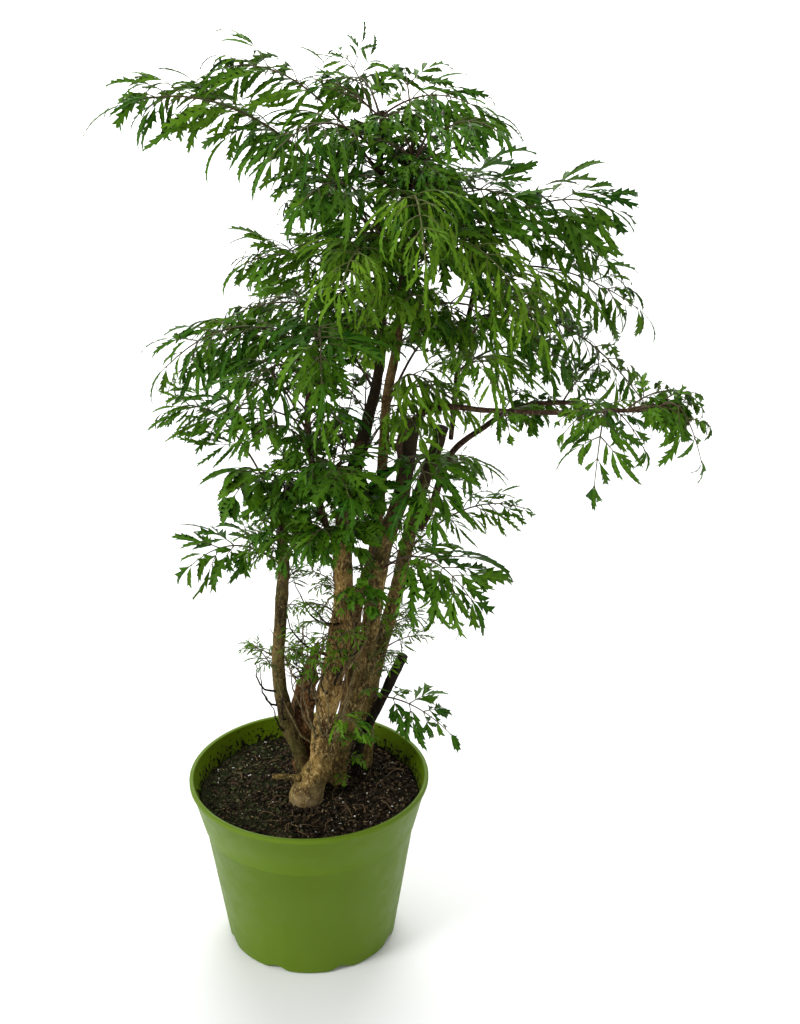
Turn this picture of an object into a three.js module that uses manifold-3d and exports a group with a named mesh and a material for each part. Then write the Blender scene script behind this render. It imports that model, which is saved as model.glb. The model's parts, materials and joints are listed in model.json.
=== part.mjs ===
// A potted ming aralia: woody canes in a tapered plastic nursery pot, with long arching compound leaves.
// Millimetres, +Z up, the origin at the centre of the pot's underside, +Y away from the front of the plant.
import * as THREE from "three";
import { mergeVertices } from "three/addons/utils/BufferGeometryUtils.js";
import Module from "manifold-3d";

const wasm = await Module();
wasm.setup();

// ---- driving dimensions ------------------------------------------------------------------------------
const GAP = 0.4; // clearance between pieces that touch
const POT = {
  height: 116,
  rimRadius: 76,
  lipDepth: 3, // the thicker bead round the mouth
  lipStep: 0.9,
  bandDepth: 31, // the collar below the rim, down to its step line
  bandRadius: 67.8,
  bandStep: 0.8,
  baseRadius: 54.4,
  baseBevel: 2.5,
  wall: 1.8,
  floor: 2.4,
  segments: 64,
};
const DRAIN = { count: 8, radius: 6, height: 1, depth: 14 };
const SOIL = { edgeDepth: 14, crown: 4, rings: 4 };
const LEAF = {
  thickness: 1,
  midribHalf: 1.1,
  bladeStart: 0.36, // share of the leaf's length that is bare petiole
  petioleSteps: 3,
  pinnaReach: [0.72, 1, 0.86, 0.56], // half-width of each pair of leaflets, as a share of the widest
  pinnaSweep: 0.75, // how far a leaflet's tip leans forward, in leaflet spacings
  sag: 0.22, // droop of the leaflet tips, as a share of their reach
};
const COLOURS = {
  pot: 0x6f9136,
  soil: 0x2c211b,
  bark: 0x8a7456,
  darkBark: 0x40342b,
  shoot: 0x4a3a2c,
  leaf: 0x2f6a24,
};

const material = (color, roughness) => new THREE.MeshStandardMaterial({ color, roughness, metalness: 0 });
const MATERIALS = {
  pot: material(COLOURS.pot, 0.4),
  soil: material(COLOURS.soil, 0.95),
  bark: material(COLOURS.bark, 0.85),
  darkBark: material(COLOURS.darkBark, 0.85),
  shoot: material(COLOURS.shoot, 0.6),
  leaf: material(COLOURS.leaf, 0.45),
};

// ---- solids ------------------------------------------------------------------------------------------
// A geometry as a manifold-3d solid, with its shared vertices merged.
function solidOf(geometry) {
  const bare = new THREE.BufferGeometry();
  const source = geometry.index ? geometry.toNonIndexed() : geometry;
  bare.setAttribute("position", source.getAttribute("position"));
  const merged = mergeVertices(bare, 1e-3);
  return new wasm.Manifold(
    new wasm.Mesh({
      numProp: 3,
      vertProperties: merged.attributes.position.array,
      triVerts: new Uint32Array(merged.index.array),
    }),
  );
}

// The geometry of a manifold-3d solid.
function geometryOf(solid) {
  const { numProp, numVert, vertProperties, triVerts } = solid.getMesh();
  const position = new Float32Array(numVert * 3);
  for (let i = 0; i < numVert; i++) {
    position.set(vertProperties.subarray(i * numProp, i * numProp + 3), i * 3);
  }
  return new THREE.BufferGeometry()
    .setAttribute("position", new THREE.BufferAttribute(position, 3))
    .setIndex(new THREE.BufferAttribute(triVerts, 1));
}

// A closed outline of [radius, height] points, turned about Z.
function turned(outline, segments) {
  const points = outline.map(([r, z]) => new THREE.Vector2(r, z));
  return new THREE.LatheGeometry(points, segments).rotateX(Math.PI / 2);
}

// Moves every vertex of a geometry to where place(x, y, z) says.
function bent(geometry, place) {
  const position = geometry.getAttribute("position");
  for (let i = 0; i < position.count; i++) {
    const to = place(position.getX(i), position.getY(i), position.getZ(i));
    position.setXYZ(i, to.x, to.y, to.z);
  }
  return geometry;
}

// ---- pot and soil ------------------------------------------------------------------------------------
function potGeometry() {
  const { height, rimRadius, lipDepth, lipStep, bandDepth, bandRadius, bandStep } = POT;
  const { baseRadius, baseBevel, wall, floor, segments } = POT;
  const bandFoot = height - bandDepth;
  const lipFoot = height - lipDepth;
  const shell = solidOf(
    turned(
      [
        [0, 0],
        [baseRadius - baseBevel, 0],
        [baseRadius, baseBevel],
        [bandRadius - bandStep, bandFoot - bandStep],
        [bandRadius, bandFoot],
        [rimRadius - lipStep, lipFoot],
        [rimRadius, lipFoot + lipStep],
        [rimRadius, height - lipStep],
        [rimRadius - lipStep, height],
        [rimRadius - wall - lipStep, height],
        [rimRadius - wall - lipStep, lipFoot],
        [bandRadius - bandStep - wall, bandFoot],
        [baseRadius - wall, baseBevel + floor],
        [baseRadius - wall - baseBevel, floor],
        [0, floor],
      ],
      segments,
    ),
  );
  return geometryOf(drainHoles().reduce((pot, hole) => pot.subtract(hole), shell));
}

// Round holes through the corner where the pot's wall meets its floor.
function drainHoles() {
  return Array.from({ length: DRAIN.count }, (_, i) => {
    const hole = new THREE.CylinderGeometry(DRAIN.radius, DRAIN.radius, DRAIN.depth, 10);
    hole.translate(0, POT.baseRadius, 0).rotateZ(((i + 0.5) / DRAIN.count) * 2 * Math.PI);
    return solidOf(hole.translate(0, 0, DRAIN.height));
  });
}

// The inside radius of the pot at a height.
function potInside(z) {
  const foot = POT.baseBevel + POT.floor;
  const bandFoot = POT.height - POT.bandDepth;
  const low = POT.baseRadius - POT.wall;
  const middle = POT.bandRadius - POT.bandStep - POT.wall;
  if (z < bandFoot) return THREE.MathUtils.mapLinear(z, foot, bandFoot, low, middle);
  const lipFoot = POT.height - POT.lipDepth;
  return THREE.MathUtils.mapLinear(z, bandFoot, lipFoot, middle, POT.rimRadius - POT.lipStep - POT.wall);
}

// The height of the soil's surface at a share of the way from the pot's axis to its wall.
function soilSurface(share) {
  return POT.height - SOIL.edgeDepth + SOIL.crown * Math.cos((share * Math.PI) / 2);
}

// Potting soil that fills the pot, with each cane's foot cut out of it.
function soilGeometry(canes) {
  const foot = POT.floor + GAP;
  const bevelTop = POT.baseBevel + POT.floor;
  const bandFoot = POT.height - POT.bandDepth;
  const edge = POT.height - SOIL.edgeDepth;
  const side = [
    [potInside(bevelTop) - POT.baseBevel - GAP, foot],
    [potInside(bevelTop) - GAP, bevelTop + GAP],
    [potInside(bandFoot) - GAP, bandFoot],
    [potInside(edge) - GAP, edge],
  ];
  const top = Array.from({ length: SOIL.rings }, (_, i) => {
    const share = 1 - (i + 1) / SOIL.rings;
    return [share * (potInside(edge) - GAP), soilSurface(share)];
  });
  const soil = solidOf(turned([[0, foot], ...side, ...top], POT.segments));
  const pocketOf = (cane) => solidOf(caneGeometry({ ...cane, grow: GAP }));
  return geometryOf(canes.reduce((rest, cane) => rest.subtract(pocketOf(cane)), soil));
}

// ---- canes and shoots --------------------------------------------------------------------------------
// Each cane is a route of [x, y, z, radius] points, from its foot to its top.
const CANES = {
  front_trunk: {
    look: "bark",
    sides: 9,
    steps: 24,
    route: [
      [-3, -14, 80, 8],
      [-3, -14, 96, 9.5],
      [-1, -14, 108, 11],
      [3, -13, 119, 8.4],
      [7, -13, 131, 6.2],
      [9, -13, 151, 6.2],
      [14, -12, 180, 7.2],
      [19, -10, 208, 6.8],
      [24, -6, 242, 6.1],
      [23, -3, 275, 5.8],
      [28, 2, 311, 4.7],
      [34, 7, 335, 3.9],
      [42, 15, 364, 3.2],
      [47, 20, 395, 2.9],
      [46, 20, 433, 2.6],
      [46, 19, 475, 1.9],
      [48, 16, 532, 1.3],
    ],
  },
  left_trunk: {
    look: "bark",
    sides: 8,
    steps: 16,
    route: [
      [-3, 4, 80, 4.2],
      [-3, 4, 106, 4.4],
      [-6, 4, 127, 4.3],
      [-13, 5, 150, 5],
      [-17, 6, 173, 4.3],
      [-18, 6, 194, 4.1],
      [-15, 7, 232, 4],
      [-13, 8, 264, 3.4],
      [-14, 6, 295, 2.4],
      [-7, 1, 318, 1.8],
    ],
  },
  slender_trunk: {
    look: "bark",
    sides: 8,
    steps: 22,
    route: [
      [13, 27, 80, 4.8],
      [18, 25, 120, 4.6],
      [27, 22, 175, 4.2],
      [31, 21, 226, 4],
      [40, 19, 255, 3.6],
      [45, 14, 295, 3.2],
      [48, 8, 335, 3],
      [50, 2, 368, 2.8],
      [57, -2, 410, 2.6],
      [60, -3, 458, 2],
      [65, -6, 521, 1.3],
    ],
  },
  right_trunk: {
    look: "darkBark",
    sides: 9,
    steps: 18,
    route: [
      [16, 6, 80, 6.4],
      [17, 6, 112, 6],
      [25, 8, 151, 6.3],
      [33, 8, 176, 6.4],
      [37, 7, 202, 5.7],
      [41, 6, 228, 5.5],
      [48, 3, 275, 5.2],
      [58, 0, 305, 5],
      [62, -3, 335, 4.9],
      [65, -5, 358, 4.7],
    ],
  },
  rear_trunk: {
    look: "darkBark",
    sides: 8,
    steps: 18,
    route: [
      [33, 31, 80, 5.4],
      [36, 29, 130, 5],
      [42, 27, 178, 4.8],
      [52, 24, 218, 4.5],
      [60, 21, 256, 4.2],
      [68, 19, 295, 4],
      [78, 16, 328, 4],
      [83, 15, 346, 3.8],
    ],
  },
  burl_stump: {
    look: "bark",
    sides: 8,
    steps: 12,
    route: [
      [-2, 20, 80, 6.5],
      [-3, 19, 120, 7.4],
      [-4, 18, 148, 7.8],
      [-2, 18, 166, 7],
      [1, 17, 178, 4.8],
      [3, 16, 188, 2.8],
      [6, 16, 199, 1.6],
    ],
  },
  cut_stub: {
    look: "darkBark",
    sides: 8,
    steps: 10,
    route: [
      [25, 19, 80, 3],
      [33, 19, 128, 3],
      [42, 18, 150, 3],
      [51, 19, 170, 3.1],
      [60, 20, 190, 3.3],
    ],
  },
  left_shoot: {
    look: "shoot",
    sides: 7,
    steps: 12,
    route: [
      [15.9, -2, 283, 2],
      [10, -1, 303, 2.4],
      [5, 0, 338, 2.1],
      [4, 0, 364, 1.8],
      [7, 0, 385, 1.6],
      [12, 0, 408, 1.3],
    ],
  },
  long_right_shoot: {
    look: "shoot",
    sides: 7,
    steps: 16,
    route: [
      [70.4, 21.5, 277, 2],
      [77, 24, 290, 2.4],
      [83, 24, 311, 2.2],
      [90, 16, 331, 1.9],
      [107, 0, 352, 1.7],
      [123, -10, 367, 1.5],
      [149, -20, 375, 1.3],
      [163, -25, 375, 1.1],
    ],
  },
  arching_shoot: {
    look: "shoot",
    sides: 7,
    steps: 18,
    route: [
      [58.1, -9, 334, 1.8],
      [58, -17, 352, 1.9],
      [70, -33, 373, 1.7],
      [85, -46, 382, 1.6],
      [104, -56, 384, 1.5],
      [139, -65, 386, 1.4],
      [170, -70, 389, 1.2],
      [194, -75, 391, 1],
    ],
  },
  upright_shoot: {
    look: "shoot",
    sides: 7,
    steps: 12,
    route: [
      [88, 14, 339, 1.5],
      [89.5, 13, 358, 1.8],
      [92, 14, 386, 1.6],
      [97, 12, 414, 1.5],
      [107, 7, 469, 1.2],
    ],
  },
  root_peg: {
    look: "bark",
    sides: 8,
    steps: 5,
    route: [
      [-5.4, -16.2, 122, 2.3],
      [-12, -17.8, 124, 2],
      [-17, -19, 125, 1.8],
      [-22, -20, 126, 1.5],
    ],
  },
};

const curveOf = ({ route }) =>
  new THREE.CatmullRomCurve3(
    route.map(([x, y, z]) => new THREE.Vector3(x, y, z)),
    false,
    "centripetal",
  );

// The radius of a cane at a share of its route, with the radii taken at its points and eased between them.
function radiusAt({ route }, share) {
  const at = share * (route.length - 1);
  const i = Math.min(Math.floor(at), route.length - 2);
  return THREE.MathUtils.lerp(route[i][3], route[i + 1][3], THREE.MathUtils.smoothstep(at - i, 0, 1));
}

// A closed turned rod with a ring for each step, bent along the cane's curve.
function caneGeometry(cane) {
  const { sides, steps, grow = 0 } = cane;
  const curve = curveOf(cane);
  const centres = Array.from({ length: steps + 1 }, (_, i) => curve.getPoint(i / steps));
  const { normals, tangents } = framesAlong(centres);
  centres[0].addScaledVector(tangents[0], -grow);
  centres[steps].addScaledVector(tangents[steps], grow);
  const rings = centres.map((_, i) => new THREE.Vector2(radiusAt(cane, i / steps) + grow, i));
  const profile = [new THREE.Vector2(0, 0), ...rings, new THREE.Vector2(0, steps)];
  return bent(new THREE.LatheGeometry(profile, sides), (x, y, z) => {
    const i = Math.round(y);
    const across = normals[i].clone().cross(tangents[i]);
    return centres[i].clone().addScaledVector(normals[i], x).addScaledVector(across, z);
  });
}

// Tangents and untwisted normals at the points of a polyline.
function framesAlong(points) {
  const last = points.length - 1;
  const tangents = points.map((_, i) =>
    new THREE.Vector3().subVectors(points[Math.min(i + 1, last)], points[Math.max(i - 1, 0)]).normalize(),
  );
  const normals = [];
  let normal = new THREE.Vector3(0, 1, 0);
  for (const tangent of tangents) {
    normal = normal.clone().addScaledVector(tangent, -normal.dot(tangent)).normalize();
    normals.push(normal);
  }
  return { tangents, normals };
}

// The point on a cane's curve at a height, and the cane's radius there.
function joinOn(cane, height) {
  const curve = curveOf(cane);
  const looks = 200;
  let best = 0;
  for (let i = 0; i <= looks; i++) {
    const miss = Math.abs(curve.getPoint(i / looks).z - height);
    if (miss < Math.abs(curve.getPoint(best / looks).z - height)) best = i;
  }
  return { centre: curve.getPoint(best / looks), radius: radiusAt(cane, best / looks) };
}

// ---- compound leaves ---------------------------------------------------------------------------------
// name: [the cane it grows from, the height where it joins, its tip's [x, y, z], its arch, its half-width].
// The arch is how far the leaf's control point stands above the middle of the line from joint to tip.
const LEAVES = {
  crown_leaf_1: ["front_trunk", 462, [-106, -40, 539], 78, 30],
  crown_leaf_2: ["front_trunk", 498, [-55, 0, 551], 58, 29],
  crown_leaf_3: ["front_trunk", 520, [22, 45, 560], 22, 20],
  crown_leaf_4: ["slender_trunk", 520, [59, 45, 551], 22, 20],
  crown_leaf_5: ["front_trunk", 530, [106, -30, 539], 22, 24],
  crown_leaf_6: ["slender_trunk", 512, [114, -58, 533], 30, 26],
  crown_leaf_7: ["front_trunk", 508, [-18, -72, 514], 48, 28],
  crown_leaf_8: ["front_trunk", 474, [0, -78, 494], 42, 26],
  crown_leaf_9: ["slender_trunk", 480, [72, -118, 466], 58, 27],
  crown_leaf_10: ["front_trunk", 440, [24, -112, 452], 52, 27],
  crown_leaf_11: ["slender_trunk", 456, [124, -84, 452], 44, 27],
  crown_leaf_12: ["upright_shoot", 466, [184, -12, 478], 32, 32],
  crown_leaf_13: ["front_trunk", 528, [22, 112, 512], 44, 26],
  crown_leaf_14: ["slender_trunk", 505, [104, 98, 505], 44, 26],
  crown_leaf_15: ["slender_trunk", 470, [82, 124, 455], 48, 28],
  crown_leaf_16: ["front_trunk", 452, [10, 106, 456], 44, 28],
  left_leaf_1: ["front_trunk", 411, [-38, -22, 450], 48, 27],
  left_leaf_2: ["front_trunk", 398, [-66, 34, 400], 50, 28],
  left_leaf_3: ["left_shoot", 398, [-84, -46, 390], 52, 27],
  left_leaf_4: ["left_shoot", 388, [-82, 14, 376], 50, 26],
  left_leaf_5: ["left_shoot", 380, [-34, -86, 380], 48, 26],
  left_leaf_6: ["left_trunk", 300, [-84, -12, 358], 66, 25],
  left_leaf_7: ["left_shoot", 406, [18, -116, 405], 46, 27],
  left_leaf_8: ["front_trunk", 372, [-40, 100, 392], 52, 27],
  left_leaf_9: ["left_shoot", 350, [-56, 78, 352], 52, 26],
  right_leaf_8: ["upright_shoot", 434, [138, -82, 420], 42, 25],
  right_leaf_1: ["slender_trunk", 424, [160, -40, 417], 40, 26],
  right_leaf_2: ["upright_shoot", 384, [166, -34, 378], 46, 26],
  right_leaf_3: ["long_right_shoot", 375, [200, -46, 345], 26, 17],
  right_leaf_4: ["arching_shoot", 391, [223, -88, 354], 40, 19],
  right_leaf_5: ["arching_shoot", 389, [160, -106, 346], 26, 20],
  right_leaf_6: ["upright_shoot", 414, [217, 16, 338], 60, 27],
  right_leaf_7: ["upright_shoot", 366, [116, -92, 402], 50, 26],
  right_leaf_9: ["upright_shoot", 398, [172, 100, 376], 56, 28],
  right_leaf_10: ["slender_trunk", 365, [110, 112, 366], 58, 28],
  low_leaf_1: ["left_trunk", 314, [-40, -54, 322], 32, 24],
  low_leaf_2: ["left_trunk", 262, [-74, -20, 263], 32, 22],
  low_leaf_3: ["left_shoot", 322, [34, -104, 340], 40, 25],
  low_leaf_4: ["right_trunk", 335, [78, -94, 320], 38, 24],
  low_leaf_5: ["rear_trunk", 268, [143, 16, 288], 32, 17],
  low_leaf_6: ["right_trunk", 262, [122, -62, 262], 42, 27],
  low_leaf_7: ["rear_trunk", 236, [98, 20, 200], 40, 19],
  low_leaf_8: ["slender_trunk", 245, [6, 108, 216], 48, 25],
  low_leaf_9: ["rear_trunk", 300, [106, 106, 262], 52, 26],
  base_leaf_1: ["front_trunk", 166, [39, -60, 176], 14, 14],
  base_leaf_2: ["right_trunk", 168, [98, 0, 134], 22, 16],
};

// The outline of a flattened compound leaf along +X: a bare petiole, then pairs of lobes and an end lobe.
function leafOutline(length, halfWidth, grow) {
  const { midribHalf, bladeStart, petioleSteps, pinnaReach, pinnaSweep } = LEAF;
  const rib = midribHalf + grow;
  const bladeFrom = bladeStart * length;
  const spacing = (length - bladeFrom) / (pinnaReach.length + 1);
  const side = [];
  for (let i = 0; i < petioleSteps; i++) side.push([(bladeFrom * i) / petioleSteps, rib]);
  pinnaReach.forEach((reach, i) => {
    const x = bladeFrom + spacing * i;
    side.push([x, rib], [x + spacing * pinnaSweep, halfWidth * reach + grow]);
  });
  side.push([length - spacing, rib]);
  const back = side.map(([x, y]) => [x, -y]).reverse();
  return new THREE.Shape([...side, [length + grow, 0], ...back].map(([x, y]) => new THREE.Vector2(x, y)));
}

// A leaf bent along its arch. Its midrib stays in one upright plane, and its lobes droop to both sides.
function leafGeometry({ base, tip, arch, halfWidth }, grow = 0) {
  const control = base.clone().lerp(tip, 0.5);
  control.z += arch;
  const curve = new THREE.QuadraticBezierCurve3(base, control, tip);
  const length = curve.getLength();
  const thickness = LEAF.thickness + 2 * grow;
  const flat = new THREE.ExtrudeGeometry(leafOutline(length, halfWidth, grow), {
    depth: thickness,
    bevelEnabled: false,
    steps: 1,
  });
  const side = new THREE.Vector3(base.y - tip.y, tip.x - base.x, 0).normalize();
  return bent(flat, (x, y, z) => {
    const share = Math.min(x / length, 1);
    const tangent = curve.getTangentAt(share);
    const up = tangent.clone().cross(side);
    const place = curve.getPointAt(share).addScaledVector(tangent, Math.max(x - length, 0));
    place.addScaledVector(side, y).addScaledVector(up, z - thickness / 2);
    place.z -= (LEAF.sag * y * y) / halfWidth;
    return place;
  });
}

// Where a leaf lies when it is turned about its joint by two angles in degrees: round the cane, and up.
function leafAt([caneName, height, tip, arch, halfWidth], turn, raise) {
  const cane = CANES[caneName];
  const { centre, radius } = joinOn(cane, height);
  const reach = new THREE.Vector3(...tip).sub(centre);
  reach.applyAxisAngle(new THREE.Vector3(0, 0, 1), THREE.MathUtils.degToRad(turn));
  const outward = new THREE.Vector3(reach.x, reach.y, 0).normalize();
  const level = new THREE.Vector3(-outward.y, outward.x, 0);
  reach.applyAxisAngle(level, THREE.MathUtils.degToRad(-raise));
  const base = centre.clone().addScaledVector(outward, radius + GAP + LEAF.thickness / 2);
  return { base, tip: centre.clone().add(reach), arch, halfWidth };
}

// The turns to try, the smallest first, until a leaf is clear of everything that is already in place.
const TURNS = [];
for (let turn = -28; turn <= 28; turn += 4) {
  for (let raise = -20; raise <= 20; raise += 4) TURNS.push([turn, raise]);
}
TURNS.sort((a, b) => Math.hypot(...a) - Math.hypot(...b) || a[0] - b[0] || a[1] - b[1]);

function overlaps(a, b) {
  if (!a.box.intersectsBox(b.box)) return false;
  return !a.solid.intersect(b.solid).isEmpty();
}

function placed(geometry) {
  geometry.computeBoundingBox();
  return { box: geometry.boundingBox.clone(), solid: solidOf(geometry) };
}

// ---- the assembly ------------------------------------------------------------------------------------
const plant = new THREE.Group();
const taken = [];

function addPiece(name, geometry, look) {
  const mesh = new THREE.Mesh(geometry, MATERIALS[look]);
  mesh.name = name;
  plant.add(mesh);
  taken.push(placed(geometry));
}

const rooted = Object.values(CANES).filter(({ route }) => route[0][2] < soilSurface(1));
addPiece("pot", potGeometry(), "pot");
addPiece("potting_soil", soilGeometry(rooted), "soil");
for (const [name, cane] of Object.entries(CANES)) addPiece(name, caneGeometry(cane), cane.look);
for (const [name, leaf] of Object.entries(LEAVES)) {
  const clear = TURNS.find(([turn, raise]) => {
    const grown = placed(leafGeometry(leafAt(leaf, turn, raise), GAP));
    return !taken.some((other) => overlaps(grown, other));
  });
  if (!clear) throw new Error(`${name} has no clear place`);
  addPiece(name, leafGeometry(leafAt(leaf, ...clear)), "leaf");
}

export default plant;
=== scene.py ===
# The looks of a potted ming aralia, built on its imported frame. Metres, +Z up, +Y away from the front.
import json
import math
import random

import bpy
from mathutils import Matrix, Vector, noise


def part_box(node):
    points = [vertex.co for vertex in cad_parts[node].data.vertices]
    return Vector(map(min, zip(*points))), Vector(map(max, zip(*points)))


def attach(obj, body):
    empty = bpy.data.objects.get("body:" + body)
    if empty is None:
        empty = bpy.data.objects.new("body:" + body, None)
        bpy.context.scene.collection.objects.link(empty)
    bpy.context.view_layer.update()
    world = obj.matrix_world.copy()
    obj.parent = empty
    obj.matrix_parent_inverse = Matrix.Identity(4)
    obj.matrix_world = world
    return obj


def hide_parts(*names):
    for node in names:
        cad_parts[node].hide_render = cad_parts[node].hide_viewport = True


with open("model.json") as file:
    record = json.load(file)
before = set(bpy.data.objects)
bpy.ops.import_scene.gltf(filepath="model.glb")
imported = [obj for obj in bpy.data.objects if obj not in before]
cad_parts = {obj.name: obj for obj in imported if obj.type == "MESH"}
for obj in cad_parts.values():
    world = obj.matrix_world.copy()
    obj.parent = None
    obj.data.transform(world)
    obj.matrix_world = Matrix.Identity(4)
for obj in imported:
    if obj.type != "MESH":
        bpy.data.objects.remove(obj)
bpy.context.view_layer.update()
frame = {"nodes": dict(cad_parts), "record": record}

MM = 0.001
UP = Vector((0, 0, 1))
NODES = frame["nodes"]
SAME_POINT = 0.01 * MM
# The tone, across and young values of points that need none.
NO_TINTS = (0.5, 0.5, 0.0)


# ---- mesh building -----------------------------------------------------------------------------------
class Builder:
    """Gathers points and faces. Each point has tone, across and young values for the materials."""

    def __init__(self):
        self.points = []
        self.faces = []
        self.slots = []
        self.data = []

    def add(self, points, faces, slot=0, data=NO_TINTS):
        first = len(self.points)
        self.points += points
        self.data += data if isinstance(data, list) else [data] * len(points)
        self.faces += [[first + i for i in face] for face in faces]
        self.slots += [slot] * len(faces)

    def piece(self, name, materials):
        mesh = bpy.data.meshes.new(name)
        mesh.from_pydata([tuple(p) for p in self.points], [], self.faces)
        for material in materials:
            mesh.materials.append(material)
        mesh.polygons.foreach_set("material_index", self.slots)
        mesh.polygons.foreach_set("use_smooth", [True] * len(self.faces))
        colours = mesh.attributes.new("tints", "FLOAT_COLOR", "POINT")
        colours.data.foreach_set("color", [c for d in self.data for c in (*d, 1.0)])
        mesh.validate()
        mesh.update()
        obj = bpy.data.objects.new(name, mesh)
        bpy.context.scene.collection.objects.link(obj)
        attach(obj, "root")
        return obj


def frames_along(points):
    """A tangent and an untwisted normal at each point of a polyline."""
    tangents = []
    for i in range(len(points)):
        ahead = points[min(i + 1, len(points) - 1)]
        tangents.append((ahead - points[max(i - 1, 0)]).normalized())
    normal = tangents[0].orthogonal().normalized()
    normals = []
    for tangent in tangents:
        normal = (normal - tangent * normal.dot(tangent)).normalized()
        normals.append(normal)
    return tangents, normals


def ring_faces(rings, sides):
    """Quads that join each ring of points to the next one."""
    faces = []
    for i in range(rings - 1):
        for s in range(sides):
            a, b = i * sides + s, i * sides + (s + 1) % sides
            faces.append([a, b, b + sides, a + sides])
    return faces


def add_tube(build, points, radii, sides, data=NO_TINTS):
    """A closed tube along a polyline."""
    tangents, normals = frames_along(points)
    ring_points = []
    for point, radius, tangent, normal in zip(points, radii, tangents, normals):
        across = tangent.cross(normal)
        for s in range(sides):
            angle = 2 * math.pi * s / sides
            ring_points.append(point + radius * (math.cos(angle) * normal + math.sin(angle) * across))
    faces = ring_faces(len(points), sides)
    faces.append(list(range(sides - 1, -1, -1)))
    faces.append([(len(points) - 1) * sides + s for s in range(sides)])
    if isinstance(data, list):
        data = [d for d in data for _ in range(sides)]
    build.add(ring_points, faces, data=data)


def catmull(points, steps):
    """Points spread along a smooth curve through the given ones, steps to each span."""
    out = []
    padded = [points[0] * 2 - points[1], *points, points[-1] * 2 - points[-2]]
    for a, b, c, d in zip(padded, padded[1:], padded[2:], padded[3:]):
        for k in range(steps):
            t = k / steps
            squared = (2 * a - 5 * b + 4 * c - d) * t * t
            cubed = (3 * b - a - 3 * c + d) * t**3
            out.append(0.5 * (2 * b + (c - a) * t + squared + cubed))
    return [*out, points[-1]]


def smoothstep(low, high, x):
    t = min(max((x - low) / (high - low), 0), 1)
    return t * t * (3 - 2 * t)


# ---- materials ---------------------------------------------------------------------------------------
class Shader:
    """Short calls for building one node material."""

    def __init__(self, name, roughness=0.5, **constants):
        self.material = bpy.data.materials.new(name)
        self.material.use_nodes = True
        self.nodes = self.material.node_tree.nodes
        self.links = self.material.node_tree.links
        self.surface = self.nodes["Principled BSDF"]
        self.surface.inputs["Roughness"].default_value = roughness
        for key, value in constants.items():
            self.surface.inputs[key.replace("_", " ")].default_value = value
        self.place = self.nodes.new("ShaderNodeTexCoord").outputs["Object"]

    def link(self, source, socket):
        if hasattr(source, "links"):
            self.links.new(source, socket)
        elif isinstance(source, tuple) and len(socket.default_value) == 4:
            socket.default_value = (*source, 1)
        else:
            socket.default_value = source

    def stretched(self, x, y, z):
        node = self.nodes.new("ShaderNodeMapping")
        self.links.new(self.place, node.inputs["Vector"])
        node.inputs["Scale"].default_value = (x, y, z)
        return node.outputs["Vector"]

    def noise(self, scale, detail=4, vector=None, rough=0.55):
        node = self.nodes.new("ShaderNodeTexNoise")
        self.links.new(vector or self.place, node.inputs["Vector"])
        node.inputs["Scale"].default_value = scale
        node.inputs["Detail"].default_value = detail
        node.inputs["Roughness"].default_value = rough
        return node.outputs["Fac"]

    def cells(self, scale, output="Distance"):
        node = self.nodes.new("ShaderNodeTexVoronoi")
        self.links.new(self.place, node.inputs["Vector"])
        node.inputs["Scale"].default_value = scale
        return node.outputs[output]

    def tints(self):
        """The tone, across and young values of the mesh's points."""
        node = self.nodes.new("ShaderNodeAttribute")
        node.attribute_name = "tints"
        split = self.nodes.new("ShaderNodeSeparateColor")
        self.links.new(node.outputs["Color"], split.inputs["Color"])
        return split.outputs["Red"], split.outputs["Green"], split.outputs["Blue"]

    def axis(self, name):
        """One coordinate in metres: X to the right, Z above the floor."""
        node = self.nodes.new("ShaderNodeSeparateXYZ")
        self.links.new(self.place, node.inputs["Vector"])
        return node.outputs[name]

    def ramp(self, value, low, high, to_low=0.0, to_high=1.0):
        node = self.nodes.new("ShaderNodeMapRange")
        node.interpolation_type = "SMOOTHSTEP"
        self.link(value, node.inputs["Value"])
        node.inputs["From Min"].default_value = low
        node.inputs["From Max"].default_value = high
        node.inputs["To Min"].default_value = to_low
        node.inputs["To Max"].default_value = to_high
        return node.outputs["Result"]

    def times(self, a, b):
        return self.maths("MULTIPLY", a, b)

    def plus(self, a, b):
        return self.maths("ADD", a, b)

    def maths(self, operation, a, b):
        node = self.nodes.new("ShaderNodeMath")
        node.operation = operation
        self.link(a, node.inputs[0])
        self.link(b, node.inputs[1])
        return node.outputs["Value"]

    def mix(self, share, a, b):
        node = self.nodes.new("ShaderNodeMix")
        node.data_type = "RGBA"
        self.link(share, node.inputs["Factor"])
        colour_a, colour_b, colour_out = 6, 7, 2
        self.link(a, node.inputs[colour_a])
        self.link(b, node.inputs[colour_b])
        return node.outputs[colour_out]

    def colour(self, value):
        self.link(value, self.surface.inputs["Base Color"])

    def roughness(self, value):
        self.link(value, self.surface.inputs["Roughness"])

    def bump(self, value, strength, distance):
        node = self.nodes.new("ShaderNodeBump")
        node.inputs["Strength"].default_value = strength
        node.inputs["Distance"].default_value = distance
        self.link(value, node.inputs["Height"])
        self.links.new(node.outputs["Normal"], self.surface.inputs["Normal"])


# Heights above the floor between which the foot of a cane turns paler, and the pot's inside gets crumbs
# of soil and painted shade.
FOOT_TOP = 0.128
FOOT_FULL = 0.103
SOIL_CRUMB_AND_SHADE_TOP = 0.114
SOIL_CRUMB_AND_SHADE_FULL = 0.101


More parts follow.
